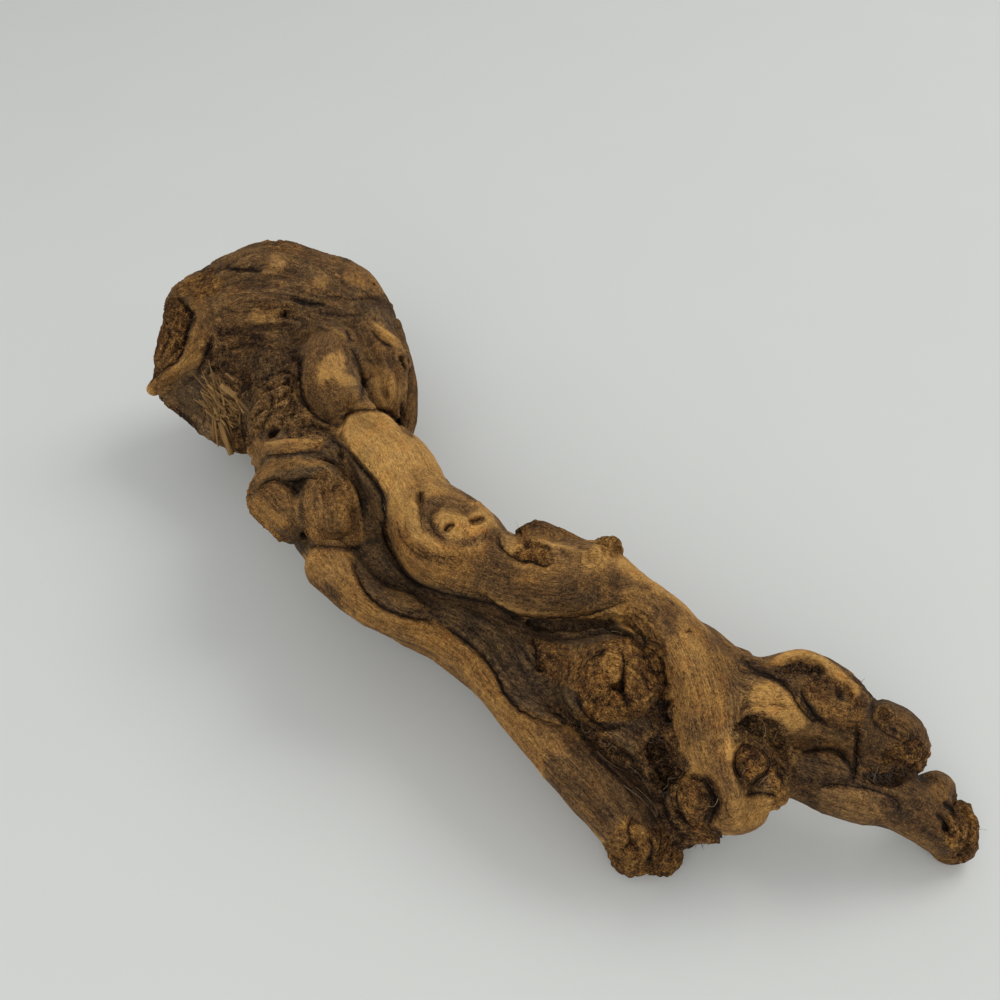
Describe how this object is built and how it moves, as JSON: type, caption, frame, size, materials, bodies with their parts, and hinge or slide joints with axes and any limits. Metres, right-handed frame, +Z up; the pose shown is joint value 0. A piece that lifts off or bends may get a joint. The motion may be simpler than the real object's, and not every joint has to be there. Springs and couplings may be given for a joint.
{
  "type": "grapewood",
  "caption": "Gnarled old grapevine trunk with a burled head, twisted limbs, knots, hollows and torn splinters, lying on its low points.",
  "frame": {"origin": "on the surface that the wood lies on, under the middle of its box", "axes": "+X along the trunk from the thick head to the thin tail, +Z up"},
  "size_m": [0.559, 0.2046, 0.1288],
  "materials": {
    "vine_wood": "bare weathered wood, worn pale on the ridges, dark and fibrous in the creases"
  },
  "bodies": {
    "root": {"grapewood": "vine_wood"}
  },
  "joints": []
}
